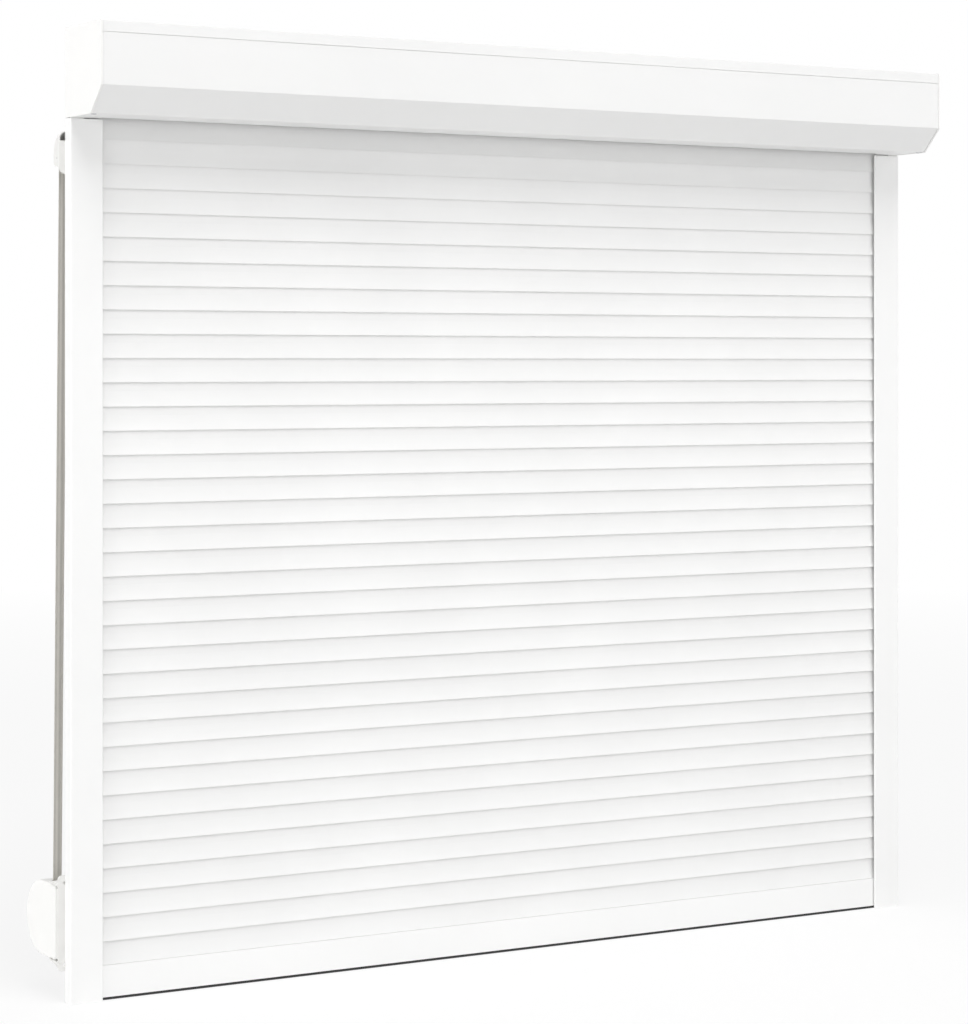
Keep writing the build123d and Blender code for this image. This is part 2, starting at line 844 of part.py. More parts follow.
# Winder bracket: a plate with two screw ears, a block between them and two pivot arms, each
# held by a rib at both of its sides
pivot = (winder_x, winder_pivot_setback)
bracket_middle = winder_centre[1]
bracket_length = 2 * (winder_radius + bracket_ear_height)
bracket_rib_end = bracket_length / 2 - bracket_ear_radius


def bracket_arm_at(height, pivot_radius):
    """Adds an arm from the plate to the pivot, with a round end, and bores it."""
    end_radius = winder_neck_radius + bracket_arm_margin
    top = height + bracket_arm
    slab((winder_x - end_radius, winder_x + end_radius), (0, winder_pivot_setback), (height, top))
    post(pivot, (height, top), end_radius)
    post(pivot, (height, top), pivot_radius, mode=Mode.SUBTRACT)


with BuildPart() as winder_bracket:
    with BuildSketch(Plane.XZ):
        with Locations((winder_x, bracket_middle)):
            RectangleRounded(bracket_ear_width, bracket_length, bracket_ear_radius)
    extrude(amount=-bracket_plate)
    slab(
        (winder_x - winder_width / 2, winder_x + winder_width / 2),
        (0, bracket_block),
        (winder_bottom + bracket_block_inset, winder_top - bracket_block_inset),
    )
    bracket_arm_at(lower_arm, winder_pin_radius)
    bracket_arm_at(upper_arm, winder_neck_radius)
    for side in (-1, 1):
        for arm_face, way in ((upper_arm + bracket_arm, 1), (lower_arm, -1)):
            with BuildSketch(Plane.YZ.offset(winder_x + side * bracket_ear_width / 2)):
                fill(
                    (0, arm_face),
                    (winder_pivot_setback, arm_face),
                    (0, bracket_middle + way * bracket_rib_end),
                )
            extrude(amount=-side * bracket_rib)
    with BuildSketch(Plane.XZ):
        with Locations((winder_x, bracket_middle)):
            with GridLocations(1, bracket_length - 2 * bracket_hole_margin, 1, 2):
                Circle(bracket_hole_radius)
    extrude(amount=-bracket_plate, mode=Mode.SUBTRACT)
save(winder_bracket.part, "winder_bracket")


# Winder body: a flat case, half round with a straight front, split down its middle
def winder_section(inset):
    """Fills the side view of the case, drawn in by the inset."""
    front = winder_flat_setback + inset
    back = winder_centre_setback + winder_corner_radius - inset
    with Locations(winder_centre):
        Circle(winder_radius - inset)
    with Locations(((front + back) / 2, winder_centre[1])):
        RectangleRounded(back - front, 2 * (winder_radius - inset), winder_corner_radius - inset)


def screw_discs(radius):
    """Fills a disc at each screw of the case: two near its front, one in the reel's post."""
    front = winder_flat_setback + winder_screw_inset
    with Locations(
        (front, winder_bottom + winder_screw_inset),
        (front, winder_top - winder_screw_inset),
        winder_centre,
    ):
        Circle(radius)


winder_left = winder_x - winder_width / 2
winder_right = winder_x + winder_width / 2
neck_end = upper_arm + bracket_arm

with BuildPart() as winder_case:
    with BuildSketch(Plane.YZ.offset(winder_left)):
        winder_section(0.0)
    extrude(amount=winder_width)
    fillet(winder_case.faces().filter_by(Axis.X).edges(), winder_edge_radius)
    post(pivot, (winder_top - winder_wall, neck_end), winder_neck_radius - running_gap)
    post(pivot, (lower_arm, winder_bottom + winder_wall), winder_pin_radius - running_gap)
    with BuildSketch(Plane.YZ.offset(winder_left + winder_wall)):
        winder_section(winder_wall)
    extrude(amount=winder_width - 2 * winder_wall, mode=Mode.SUBTRACT)
    post(pivot, (winder_top - 2 * winder_wall, neck_end), winder_neck_bore, mode=Mode.SUBTRACT)
    ring(winder_centre, (winder_left + winder_wall, winder_right - winder_wall), winder_post_radius)
    with BuildSketch(Plane.YZ.offset(winder_left + winder_wall)):
        screw_discs(winder_screw_boss)
    extrude(amount=winder_width - 2 * winder_wall)
    with BuildSketch(Plane.YZ.offset(winder_left + winder_wall)):
        screw_discs(winder_screw_radius + running_gap)
    extrude(amount=winder_width, mode=Mode.SUBTRACT)

with BuildPart() as winder_shell_left:
    add(winder_case.part)
    split(bisect_by=Plane.YZ.offset(winder_x), keep=Keep.BOTTOM)
save(winder_shell_left.part, "winder_shell_left")

with BuildPart() as winder_shell_right:
    add(winder_case.part)
    split(bisect_by=Plane.YZ.offset(winder_x), keep=Keep.TOP)
save(winder_shell_right.part, "winder_shell_right")

# Screws of the case, in from the side away from the curtain's end
with BuildPart() as winder_screws:
    with BuildSketch(Plane.YZ.offset(winder_left + winder_wall)):
        screw_discs(winder_screw_radius)
    extrude(amount=winder_width - winder_wall)
    with BuildSketch(Plane.YZ.offset(winder_right)):
        screw_discs(winder_screw_head_radius)
    extrude(amount=winder_screw_head)
save(winder_screws.part, "winder_screws")

# Reel for the strap, with the spring inside its hub
reel_left = winder_left + winder_wall + reel_side_gap
reel_right = winder_right - winder_wall - reel_side_gap
reel_hub_radius = winder_centre_setback - winder_pivot_setback
reel_flange_radius = winder_radius - winder_wall - reel_rim_gap
hub_inside = reel_hub_radius - reel_hub_wall
with BuildPart() as winder_reel:
    ring(
        winder_centre,
        (reel_left, reel_left + reel_flange),
        reel_flange_radius,
        winder_post_radius + running_gap,
    )
    ring(winder_centre, (reel_left + reel_flange, reel_right - reel_flange), reel_hub_radius, hub_inside)
    ring(winder_centre, (reel_right - reel_flange, reel_right), reel_flange_radius, hub_inside)
save(winder_reel.part, "winder_reel")


def spiral(start):
    """Draws half turns that grow by half the pitch each, and returns the two ends."""
    here = (start, 0.0)
    for half_turn in range(2 * spring_turns):
        side = 1 if half_turn % 2 == 0 else -1
        reach = abs(here[0]) + spring_pitch / 2
        middle = side * (abs(here[0]) - reach) / 2
        radius = (abs(here[0]) + reach) / 2
        there = (-side * reach, 0.0)
        ThreePointArc(here, (middle, side * radius), there)
        here = there
    return here


with BuildPart() as winder_spring:
    spring_plane = Plane(
        origin=(winder_x - spring_width / 2, *winder_centre),
        x_dir=(0, 1, 0),
        z_dir=(1, 0, 0),
    )
    inner_start = winder_post_radius + running_gap
    with BuildSketch(spring_plane):
        with BuildLine():
            inner_end = spiral(inner_start)
            outer_end = spiral(inner_start + spring_sheet)
            Line((inner_start, 0), (inner_start + spring_sheet, 0))
            Line(inner_end, outer_end)
        make_face()
    extrude(amount=spring_width)
save(winder_spring.part, "winder_spring")
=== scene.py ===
# %% [markdown]
# A roller shutter: a curtain of narrow white slats that runs in two guide rails and winds up
# into a box above them. A strap at the left works it, and a winder at the foot of the strap
# swallows its slack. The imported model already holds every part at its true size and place, in
# metres, so this lesson dresses that model: the finish of each part, the woven strap, the
# light and the camera.

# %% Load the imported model
import json
import math

import bpy
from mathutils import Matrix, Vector


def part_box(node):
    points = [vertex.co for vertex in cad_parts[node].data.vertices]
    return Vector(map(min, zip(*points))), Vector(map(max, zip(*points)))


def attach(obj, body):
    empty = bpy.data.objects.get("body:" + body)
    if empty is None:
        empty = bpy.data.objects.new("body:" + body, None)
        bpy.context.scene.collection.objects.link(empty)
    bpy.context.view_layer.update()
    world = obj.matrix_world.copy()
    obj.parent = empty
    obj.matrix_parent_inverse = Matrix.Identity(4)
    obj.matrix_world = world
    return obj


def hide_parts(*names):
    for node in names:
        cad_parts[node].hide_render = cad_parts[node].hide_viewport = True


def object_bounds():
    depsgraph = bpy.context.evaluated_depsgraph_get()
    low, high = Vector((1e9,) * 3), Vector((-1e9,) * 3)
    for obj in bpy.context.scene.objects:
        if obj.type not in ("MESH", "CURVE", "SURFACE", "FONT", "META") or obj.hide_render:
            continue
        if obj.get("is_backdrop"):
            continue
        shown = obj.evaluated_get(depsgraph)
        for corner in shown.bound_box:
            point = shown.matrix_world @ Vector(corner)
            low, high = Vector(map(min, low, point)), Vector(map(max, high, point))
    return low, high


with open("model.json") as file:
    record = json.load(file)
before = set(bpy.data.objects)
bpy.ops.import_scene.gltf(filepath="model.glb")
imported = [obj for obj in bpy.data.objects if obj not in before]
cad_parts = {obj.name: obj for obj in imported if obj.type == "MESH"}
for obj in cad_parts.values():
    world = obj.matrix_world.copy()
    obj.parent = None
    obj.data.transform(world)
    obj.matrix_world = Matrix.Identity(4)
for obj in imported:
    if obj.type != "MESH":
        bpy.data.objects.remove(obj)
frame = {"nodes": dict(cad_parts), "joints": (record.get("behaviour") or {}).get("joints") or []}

cad_low, cad_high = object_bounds()
scene = bpy.context.scene
nodes = frame["nodes"]
print("parts in the frame:", len(nodes))

# %% [markdown]
# The camera stands to the left of the shutter and looks along it at an angle. It is kept
# level, so that upright edges stay upright in the picture, and the lens is shifted down
# instead of tilted, the way that architecture is photographed. The place, the turn and the
# focal length were worked out from edges of the real object whose sizes are known.

# %% Camera
picture_height = 1024
focal_pixels = 2933.56
horizon_row = 364.55
camera_turn = math.radians(30.84)
camera_place = Vector((-2.53016, -4.14585, -0.4425))
sensor = 36.0

lens = bpy.data.cameras.new("studio_camera")
lens.sensor_fit = "VERTICAL"
lens.sensor_width = sensor
lens.sensor_height = sensor
lens.lens = focal_pixels * sensor / picture_height
lens.shift_y = (horizon_row - picture_height / 2) / picture_height
lens.clip_end = 100.0
camera = bpy.data.objects.new("studio_camera", lens)
camera.location = camera_place
camera.rotation_euler = (math.radians(90), 0, -camera_turn)
scene.collection.objects.link(camera)
scene.camera = camera
print("focal length", round(lens.lens, 1), "mm")

# %% [markdown]
# Colours are kept plain: the Standard view transform shows a colour about as it is written.

# %% Colour handling
scene.view_settings.view_transform = "Standard"

# %% [markdown]
# A material in Blender is a small network of nodes. Short helpers keep the cells below easy to
# read: they start a material, add a node with its sockets set, spread a noise over the object
# in metres, mix two colours and raise the surface by a height map.

# %% Helpers for materials


def start_material(name):
    """An empty material with a Principled shader joined to its output."""
    material = bpy.data.materials.new(name)
    material.use_nodes = True
    tree = material.node_tree
    tree.nodes.clear()
    output = tree.nodes.new("ShaderNodeOutputMaterial")
    shader = tree.nodes.new("ShaderNodeBsdfPrincipled")
    tree.links.new(shader.outputs["BSDF"], output.inputs["Surface"])
    return material, tree, shader


def add_node(tree, kind, sockets=None, **settings):
    """A node of this kind with its settings and the values of its sockets."""
    node = tree.nodes.new("ShaderNode" + kind)
    for name, value in settings.items():
        setattr(node, name, value)
    for name, value in (sockets or {}).items():
        node.inputs[name].default_value = value
    return node


def object_coordinates(tree, stretch=(1.0, 1.0, 1.0)):
    """Places on the object in metres, stretched along its axes."""
    place = add_node(tree, "TexCoord")
    mapping = add_node(tree, "Mapping", {"Scale": stretch})
    tree.links.new(place.outputs["Object"], mapping.inputs["Vector"])
    return mapping.outputs["Vector"]


def noise(tree, vector, scale, detail=2.0, roughness=0.5):
    """Soft random values between 0 and 1; the scale is in patches per metre."""
    sockets = {"Scale": scale, "Detail": detail, "Roughness": roughness}
    node = add_node(tree, "TexNoise", sockets)
    tree.links.new(vector, node.inputs["Vector"])
    return node.outputs["Fac"]


def spread(tree, value, low, high):
    """Stretches the middle of a noise between two values."""
    sockets = {"From Min": 0.3, "From Max": 0.7, "To Min": low, "To Max": high}
    node = add_node(tree, "MapRange", sockets)
    tree.links.new(value, node.inputs["Value"])
    return node.outputs["Result"]


def mix_colour(tree, factor, first, second):
    """Mixes two colours by a value between 0 and 1."""
    node = add_node(tree, "Mix", data_type="RGBA")
    node.inputs["A"].default_value = (*first, 1.0)
    node.inputs["B"].default_value = (*second, 1.0)
    tree.links.new(factor, node.inputs["Factor"])
    return node.outputs["Result"]


def bump(tree, shader, height, distance, under=None):
    """Raises the surface by a height map; another bump may lie under it."""
    node = add_node(tree, "Bump", {"Strength": 1.0, "Distance": distance})
    tree.links.new(height, node.inputs["Height"])
    if under is not None:
        tree.links.new(under, node.inputs["Normal"])
    tree.links.new(node.outputs["Normal"], shader.inputs["Normal"])
    return node.outputs["Normal"]


# %% [markdown]
# The slats are strips of aluminium that are enamelled flat and then rolled to shape. The
# enamel is white, smooth and half glossy. It has two small faults that make it look real: a
# very fine orange peel, and faint lines along the slat from the rollers. The lines come from a
# noise that is stretched more than a hundredfold along the slat.

# %% Rolled white enamel


def rolled_enamel():
    """White enamel with faint lines from the rollers and a very fine orange peel."""
    duller_white, lighter_white = (0.875, 0.875, 0.87), (0.90, 0.90, 0.895)
    line_height, peel_height = 0.00003, 0.000012
    material, tree, shader = start_material("rolled_enamel")
    along = object_coordinates(tree, (2.0, 250.0, 250.0))
    everywhere = object_coordinates(tree)
    lines = noise(tree, along, 1.0, 3.0)
    clouds = noise(tree, everywhere, 5.0)
    peel = noise(tree, everywhere, 700.0)
    colour = mix_colour(tree, spread(tree, clouds, 0.0, 1.0), duller_white, lighter_white)
    tree.links.new(colour, shader.inputs["Base Color"])
    tree.links.new(spread(tree, lines, 0.28, 0.38), shader.inputs["Roughness"])
    first = bump(tree, shader, lines, line_height)
    bump(tree, shader, peel, peel_height, under=first)
    return material


enamel = rolled_enamel()

# %% [markdown]
# The box, the guide rails and the end slat have a powder coat: powder that is melted on in an
# oven. It is thicker than enamel, with a rounder orange peel of about a millimetre. The rails
# and the end slat get a copy of the coat that is a shade whiter than the box's.

# %% White powder coat


def powder_coat(name, low, high, roughness, peel_height):
    """A coat between two whites, with broad soft waves under its orange peel."""
    wave_height = 0.00004
    material, tree, shader = start_material(name)
    everywhere = object_coordinates(tree)
    clouds = noise(tree, everywhere, 4.0, 3.0)
    peel = noise(tree, everywhere, 900.0, 1.0)
    waves = noise(tree, everywhere, 60.0, 1.0)
    colour = mix_colour(tree, spread(tree, clouds, 0.0, 1.0), low, high)
    tree.links.new(colour, shader.inputs["Base Color"])
    gloss = spread(tree, clouds, roughness - 0.04, roughness + 0.04)
    tree.links.new(gloss, shader.inputs["Roughness"])
    first = bump(tree, shader, waves, wave_height)
    bump(tree, shader, peel, peel_height, under=first)
    return material


coat = powder_coat("powder_coat", (0.865, 0.865, 0.86), (0.885, 0.885, 0.88), 0.42, 0.00002)
rail_coat = powder_coat("rail_powder_coat", (0.93, 0.93, 0.925), (0.95, 0.95, 0.945), 0.42, 0.00002)
cast_coat = powder_coat("cast_powder_coat", (0.915, 0.912, 0.90), (0.935, 0.932, 0.92), 0.46, 0.00003)

# %% [markdown]
# The strap guide, the winder and its bracket are moulded plastic. A mould for such a part is
# etched, which leaves a fine matt grain of about a third of a millimetre. The guide and the
# bracket get a darker copy of the winder's white: painted shade, for the shade of the rail and the box
# on them.

# %% Moulded plastic


def moulded_plastic(name, low, high, roughness):
    """Plastic between two shades, with the matt grain of an etched mould."""
    grain_height = 0.00003
    material, tree, shader = start_material(name)
    everywhere = object_coordinates(tree)
    flow = noise(tree, everywhere, 25.0, 3.0)
    grain = noise(tree, everywhere, 2800.0, 1.0)
    colour = mix_colour(tree, spread(tree, flow, 0.0, 1.0), low, high)
    tree.links.new(colour, shader.inputs["Base Color"])
    tree.links.new(spread(tree, flow, roughness - 0.03, roughness + 0.05), shader.inputs["Roughness"])
    bump(tree, shader, grain, grain_height)
    return material


white_plastic = moulded_plastic("white_plastic", (0.94, 0.937, 0.92), (0.96, 0.957, 0.94), 0.5)
# A darker copy of the same white plastic: painted shade on the guide and the bracket.
shade_darkened_plastic = moulded_plastic("shade_darkened_white_plastic", (0.80, 0.797, 0.775), (0.84, 0.837, 0.82), 0.5)
grey_plastic = moulded_plastic("grey_plastic", (0.50, 0.505, 0.51), (0.56, 0.565, 0.57), 0.45)

# %% [markdown]
# The seal under the end slat is black rubber. It comes out of a die, so it has fine lines along
# its length, and dust clings to it in patches.

# %% Black rubber


def black_rubber():
    """Black rubber with fine lines from the die and patches of dust."""
    clean_black, dusty_black = (0.012, 0.012, 0.013), (0.035, 0.035, 0.034)
    line_height = 0.00008
    material, tree, shader = start_material("black_rubber")
    lines = noise(tree, object_coordinates(tree, (3.0, 2500.0, 2500.0)), 1.0, 2.0)
    dust = noise(tree, object_coordinates(tree), 40.0, 6.0, 0.7)
    colour = mix_colour(tree, spread(tree, dust, 0.0, 1.0), clean_black, dusty_black)
    tree.links.new(colour, shader.inputs["Base Color"])
    tree.links.new(spread(tree, dust, 0.55, 0.8), shader.inputs["Roughness"])
    bump(tree, shader, lines, line_height)
    return material


rubber = black_rubber()

# %% [markdown]
# Brushes in the lips of the rails keep the slats from rattling. Their pile stands across the
# groove, so the noise is stretched along Y, which makes short dark and light fibres.

# %% Brush pile


def brush_pile():
    """Grey pile of short dark and light fibres that stand in tufts."""
    dark_fibre, light_fibre = (0.09, 0.09, 0.09), (0.34, 0.34, 0.33)
    tuft_height, fibre_height = 0.0004, 0.0002
    material, tree, shader = start_material("brush_pile")
    fibres = noise(tree, object_coordinates(tree, (4000.0, 120.0, 4000.0)), 1.0, 1.0)
    tufts = noise(tree, object_coordinates(tree), 220.0)
    colour = mix_colour(tree, spread(tree, fibres, 0.0, 1.0), dark_fibre, light_fibre)
    tree.links.new(colour, shader.inputs["Base Color"])
    shader.inputs["Roughness"].default_value = 0.9
    first = bump(tree, shader, tufts, tuft_height)
    bump(tree, shader, fibres, fibre_height, under=first)
    return material


pile = brush_pile()

# %% [markdown]
# The shaft, the steel strips and the spring are steel with a coat of zinc. Zinc freezes in
# flat crystals, each with its own shade, which a Voronoi texture draws well.

# %% Zinc-coated steel


def zinc_coat():
    """Zinc whose crystals differ in shade and in gloss."""
    dark_crystal, light_crystal = (0.50, 0.515, 0.53), (0.66, 0.67, 0.68)
    ripple_height = 0.00003
    material, tree, shader = start_material("zinc_coat")
    everywhere = object_coordinates(tree)
    crystals = add_node(tree, "TexVoronoi", {"Scale": 90.0, "Randomness": 1.0})
    tree.links.new(everywhere, crystals.inputs["Vector"])
    shade = add_node(tree, "SeparateColor")
    tree.links.new(crystals.outputs["Color"], shade.inputs["Color"])
    value = shade.outputs["Red"]
    colour = mix_colour(tree, value, dark_crystal, light_crystal)
    tree.links.new(colour, shader.inputs["Base Color"])
    tree.links.new(spread(tree, value, 0.28, 0.42), shader.inputs["Roughness"])
    shader.inputs["Metallic"].default_value = 1.0
    bump(tree, shader, noise(tree, everywhere, 300.0), ripple_height)
    return material


zinc = zinc_coat()

# %% [markdown]
# Screws and bearings are turned from bright steel. The tool leaves fine rings, here a noise
# stretched across the turning axis.

# %% Bright turned steel


def turned_steel():
    """Bright steel with the fine rings that a turning tool leaves."""
    dark_ring, light_ring = (0.52, 0.52, 0.53), (0.68, 0.68, 0.69)
    ring_height = 0.00002
    material, tree, shader = start_material("turned_steel")
    rings = noise(tree, object_coordinates(tree, (6000.0, 300.0, 300.0)), 1.0, 2.0)
    colour = mix_colour(tree, rings, dark_ring, light_ring)
    tree.links.new(colour, shader.inputs["Base Color"])
    tree.links.new(spread(tree, rings, 0.22, 0.36), shader.inputs["Roughness"])
    shader.inputs["Metallic"].default_value = 1.0
    bump(tree, shader, rings, ring_height)
    return material


steel = turned_steel()

# %% [markdown]
# Each part of the frame now gets its finish. Its material slots are replaced, and its mesh
# stays as the model made it.

# %% Dress the parts of the frame
finishes = {
    "box_shell": coat,
    "inspection_cover": coat,
    "cover_screws": steel,
    "left_end_cap": cast_coat,
    "right_end_cap": cast_coat,
    "left_rail": rail_coat,
    "right_rail": rail_coat,
    "rail_brushes": pile,
    "end_slat": rail_coat,
    "end_slat_seal": rubber,
    "shaft_tube": zinc,
    "strap_disc": grey_plastic,
    "shaft_end_plug": grey_plastic,
    "shaft_bearings": steel,
    "suspension_strips": zinc,
    # The guide and the bracket take the darker copy with painted shade.
    "strap_guide": shade_darkened_plastic,
    "guide_roller": grey_plastic,
    "winder_bracket": shade_darkened_plastic,
    "winder_shell_left": white_plastic,
    "winder_shell_right": white_plastic,
    "winder_screws": steel,
    "winder_reel": grey_plastic,
    "winder_spring": zinc,
}
slat_names = sorted(name for name in nodes if name.startswith("slat_"))
finishes.update({name: enamel for name in slat_names})
for name, material in finishes.items():
    mesh = nodes[name].data
    mesh.materials.clear()
    mesh.materials.append(material)
print("parts dressed:", len(finishes))

# %% [markdown]
# The strap is woven webbing, 14 mm wide. Its weave follows the strap and not the room, so its
# material reads a UV map: U runs across the strap from 0 to 1, and V along it in strap widths.
# Warp yarns show as ribs along the strap and weft yarns cross under them. Two darker stripes
# run along it.

# %% Strap webbing


def sine_of(tree, value, waves, shift=None):
    """A sine wave along a value, from -1 to 1."""
    turn = add_node(tree, "Math", operation="MULTIPLY")
    turn.inputs[1].default_value = waves * 2 * math.pi
    tree.links.new(value, turn.inputs[0])
    angle = turn.outputs[0]
    if shift is not None:
        both = add_node(tree, "Math", operation="ADD")
        tree.links.new(angle, both.inputs[0])
        tree.links.new(shift, both.inputs[1])
        angle = both.outputs[0]
    wave = add_node(tree, "Math", operation="SINE")
    tree.links.new(angle, wave.inputs[0])
    return wave.outputs[0]


def scaled(tree, value, factor, offset=0.0):
    """The value times a factor plus an offset."""
    node = add_node(tree, "Math", operation="MULTIPLY_ADD")
    node.inputs[1].default_value = factor
    node.inputs[2].default_value = offset
    tree.links.new(value, node.inputs[0])
    return node.outputs[0]


def webbing():
    """Woven webbing with ribs along it, yarns across it and two darker stripes."""
    light_yarn, dark_yarn = (0.90, 0.87, 0.80), (0.75, 0.725, 0.665)
    yarn_height = 0.00012
    rib_count, yarns_a_width, stripe_count = 14.0, 12.0, 2.0
    rib_shift = 1.4
    shadow_share = 0.35
    material, tree, shader = start_material("webbing")
    place = add_node(tree, "UVMap", uv_map="weave")
    parts = add_node(tree, "SeparateXYZ")
    tree.links.new(place.outputs["UV"], parts.inputs["Vector"])
    across, along = parts.outputs["X"], parts.outputs["Y"]
    ribs = sine_of(tree, across, rib_count)
    half_step = scaled(tree, ribs, rib_shift)
    crossings = sine_of(tree, along, yarns_a_width, half_step)
    stripes = sine_of(tree, across, stripe_count)
    darkness = spread(tree, scaled(tree, stripes, 0.5, 0.5), 0.0, 1.0)
    colour = mix_colour(tree, darkness, light_yarn, dark_yarn)
    shade = add_node(tree, "Mix", data_type="RGBA", blend_type="MULTIPLY")
    shade.inputs["Factor"].default_value = shadow_share
    tree.links.new(colour, shade.inputs["A"])
    tree.links.new(scaled(tree, crossings, 0.25, 0.75), shade.inputs["B"])
    tree.links.new(shade.outputs["Result"], shader.inputs["Base Color"])
    shader.inputs["Roughness"].default_value = 0.85
    shader.inputs["Sheen Weight"].default_value = 0.25
    first = bump(tree, shader, ribs, yarn_height)
    bump(tree, shader, crossings, yarn_height, under=first)
    return material


strap_cloth = webbing()

# %% [markdown]
# The strap leaves the roll on the disc, slides over the rounded edge of the end cap, passes
# through the back of the rail, bends over the roller in the guide and runs down to the winder.
# Seen from the end of the box, that is a row of straight runs between circles that they touch.
# The next cell works out the points where each run touches, from the axes of the joints and
# the sizes of the parts. Only the rounded edge of the cap, its shelf, has no joint or part of
# its own, so its place is given: Y and Z of its centre, and X of the strap's middle there.

# %% Route of the strap
strap_width = 0.014
strap_thickness = 0.0012
air = 0.0003
bend_steps = 10

joints = {joint["name"]: joint for joint in frame["joints"]}
shaft_axis = joints["shaft_turn"]["pos_m"]
roller_axis = joints["guide_roller_turn"]["pos_m"]
swivel_axis = joints["winder_swivel"]["pos_m"]
roll_low, roll_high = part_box("strap_roll")
roller_low, roller_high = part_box("guide_roller")
strap_end_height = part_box("strap")[0].z

clearance = air + strap_thickness / 2
roll_radius = (roll_high.z - roll_low.z) / 2
roller_radius = (roller_high.z - roller_low.z) / 2
shelf_radius = 0.0014
shelf_edge = (-0.01895, -0.0671)
shelf_middle = -0.7812
bends = [
    ((shaft_axis[1], shaft_axis[2]), roll_radius + clearance, 1),
    (shelf_edge, shelf_radius + clearance, -1),
    ((roller_axis[1], roller_axis[2]), roller_radius + clearance, -1),
    ((swivel_axis[1], strap_end_height), 0.0, 0),
]
strap_middles = [(roll_low.x + roll_high.x) / 2, shelf_middle, roller_axis[0], swivel_axis[0]]


def run_direction(first, second):
    """Direction of the straight run that touches two bends."""
    (y1, z1), radius1, turn1 = first
    (y2, z2), radius2, turn2 = second
    distance = math.hypot(y2 - y1, z2 - z1)
    lean = math.asin((turn2 * radius2 - turn1 * radius1) / distance)
    return math.atan2(z2 - z1, y2 - y1) - lean


def touch(bend, direction):
    """Point where a run with this direction touches a bend."""
    (y, z), radius, turn = bend
    return (y + turn * radius * math.sin(direction), z - turn * radius * math.cos(direction))


directions = [run_direction(one, other) for one, other in zip(bends, bends[1:])]
route = [Vector((strap_middles[0], *touch(bends[0], directions[0])))]
for middle, bend, before, after in zip(strap_middles[1:], bends[1:], directions, directions[1:]):
    for step in range(bend_steps + 1):
        direction = before + (after - before) * step / bend_steps
        route.append(Vector((middle, *touch(bend, direction))))
route.append(Vector((strap_middles[-1], *bends[-1][0])))
print("points on the route:", len(route))

# %% [markdown]
# To model the strap, a plane is cut down to one edge across the start of the route. That edge
# is then extruded from point to point, as one would do by hand in edit mode. Long runs are
# divided first, because short even faces shade better than one face a metre long. The
# Solidify modifier gives the strip its thickness, and a bevel rounds its selvedges.

# %% Helpers for modelling


def deselect_all():
    """Leaves nothing selected, so that the next operator acts only on new pieces."""
    if bpy.context.mode != "OBJECT":
        bpy.ops.object.mode_set(mode="OBJECT")
    bpy.ops.object.select_all(action="DESELECT")


def apply_modifiers(piece):
    """Applies the modifiers of a piece in their order."""
    deselect_all()
    piece.select_set(True)
    bpy.context.view_layer.objects.active = piece
    for modifier in list(piece.modifiers):
        bpy.ops.object.modifier_apply(modifier=modifier.name)


def divided(points, longest):
    """The same route with its long runs divided into equal steps."""
    fine = [points[0]]
    for start, end in zip(points, points[1:]):
        count = max(1, math.ceil((end - start).length / longest))
        for step in range(1, count + 1):
            fine.append(start.lerp(end, step / count))
    return fine


def extrude_strip(name, points, width):
    """A strip across X, made by extruding one edge along the points."""
    deselect_all()
    half_width = width / 2
    bpy.ops.mesh.primitive_plane_add(size=width, location=points[0])
    strip = bpy.context.active_object
    strip.name = name
    bpy.ops.object.transform_apply(location=True, rotation=False, scale=False)
    bpy.ops.object.mode_set(mode="EDIT")
    bpy.ops.mesh.select_mode(type="VERT")
    bpy.ops.mesh.select_all(action="DESELECT")
    bpy.ops.object.mode_set(mode="OBJECT")
    far = max(corner.co.y for corner in strip.data.vertices)
    for corner in strip.data.vertices:
        corner.select = corner.co.y > far - half_width
    bpy.ops.object.mode_set(mode="EDIT")
    bpy.ops.mesh.delete(type="VERT")
    bpy.ops.mesh.select_all(action="SELECT")
    bpy.ops.transform.translate(value=(0, half_width, 0))
    for start, end in zip(points, points[1:]):
        bpy.ops.mesh.extrude_region_move(TRANSFORM_OT_translate={"value": end - start})
    bpy.ops.object.mode_set(mode="OBJECT")
    return strip


def thicken(strip, thickness):
    """Gives the strip its thickness, half of it on each side."""
    solidify = strip.modifiers.new("thickness", "SOLIDIFY")
    solidify.thickness = thickness
    solidify.offset = 0.0


# %% [markdown]
# The strip needs its UV map before it gets its thickness, because then both faces carry the
# same weave. The vertices come in pairs in the order of the extrusions, so each vertex knows
# how far along the strap it is.

# %% Strap


def map_weave(strip, points, width):
    """Gives the strip its UV map: across it from 0 to 1, along it in widths."""
    lengths = [0.0]
    for start, end in zip(points, points[1:]):
        lengths.append(lengths[-1] + (end - start).length)
    spots = {}
    for corner in strip.data.vertices:
        step = corner.index // 2
        side = 0.0 if corner.co.x < points[step].x else 1.0
        spots[corner.index] = (side, lengths[step] / width)
    layer = strip.data.uv_layers.new(name="weave")
    for loop in strip.data.loops:
        layer.data[loop.index].uv = spots[loop.vertex_index]
    return lengths[-1]


longest_step = 0.02
selvedge_radius = 0.0004
sharp_corner = math.radians(60)
smooth_bend = math.radians(50)

fine_route = divided(route, longest_step)
strap = extrude_strip("strap_webbing", fine_route, strap_width)
strap_length = map_weave(strap, fine_route, strap_width)
thicken(strap, strap_thickness)
selvedge = strap.modifiers.new("selvedge", "BEVEL")
selvedge.width = selvedge_radius
selvedge.segments = 3
selvedge.limit_method = "ANGLE"
selvedge.angle_limit = sharp_corner
apply_modifiers(strap)
bpy.ops.object.shade_smooth_by_angle(angle=smooth_bend)
strap.data.materials.append(strap_cloth)
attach(strap, "frame")
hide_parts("strap")
print("strap length", round(strap_length, 3), "m")

# %% [markdown]
# Inside the box the strap is wound on its disc. The same helpers make the roll, from a spiral
# whose radius grows by one strap thickness a turn. The strip is a tenth thinner than the
# strap, so that its turns lie close and don't touch.

